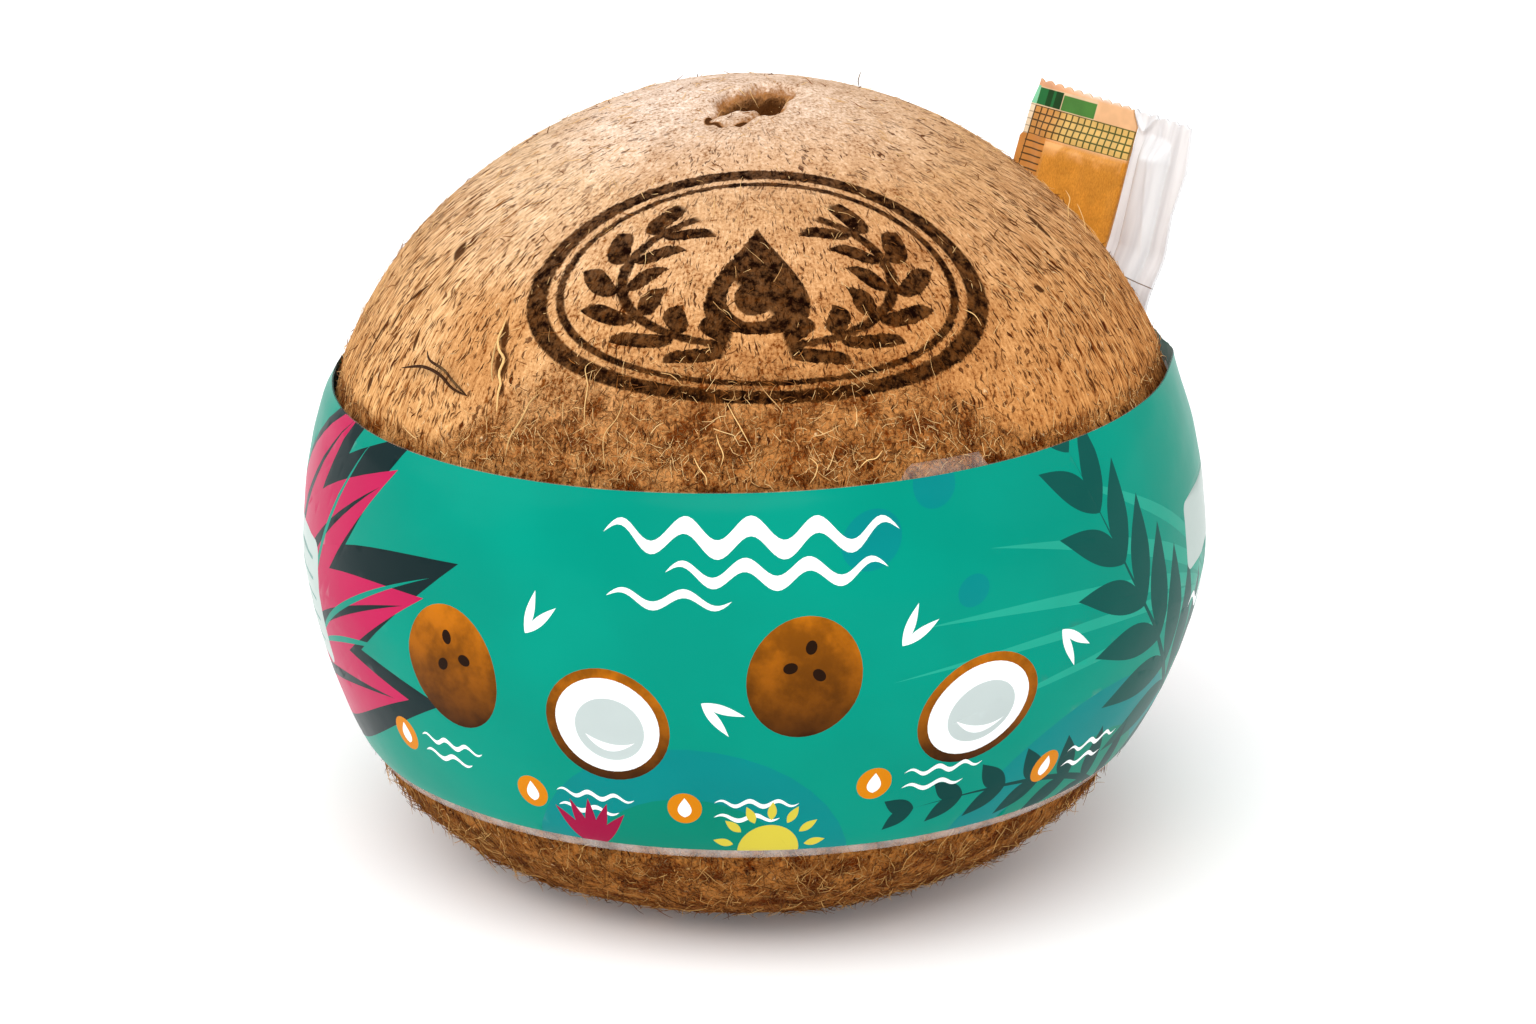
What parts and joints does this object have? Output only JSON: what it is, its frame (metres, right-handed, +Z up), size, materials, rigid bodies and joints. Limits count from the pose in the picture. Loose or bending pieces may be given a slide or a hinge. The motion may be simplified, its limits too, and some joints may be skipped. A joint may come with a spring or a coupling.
{
  "type": "coconut water in a coconut",
  "caption": "Whole dehusked drinking coconut with a burned mark, in a shrunk printed film sleeve, with a kraft sachet and a wrapped straw tucked in behind.",
  "frame": {"origin": "on the surface that the nut stands on, below the axis of its round form, on the flat foot", "axes": "+Z up, -Y to the front where the burned mark is, +X to the right seen from the front"},
  "size_m": [0.1249, 0.1248, 0.1089],
  "materials": {
    "shell_fibre": "sanded dry coir fibre, matt",
    "printed_film": "satin shrink film, printed",
    "kraft_paper": "brown kraft paper, slightly shiny",
    "clear_film": "clear crinkled film over a white straw"
  },
  "bodies": {
    "root": {"coconut": "shell_fibre", "sleeve": "printed_film", "kraft_sachet": "kraft_paper", "straw_wrapper": "clear_film"}
  },
  "joints": []
}
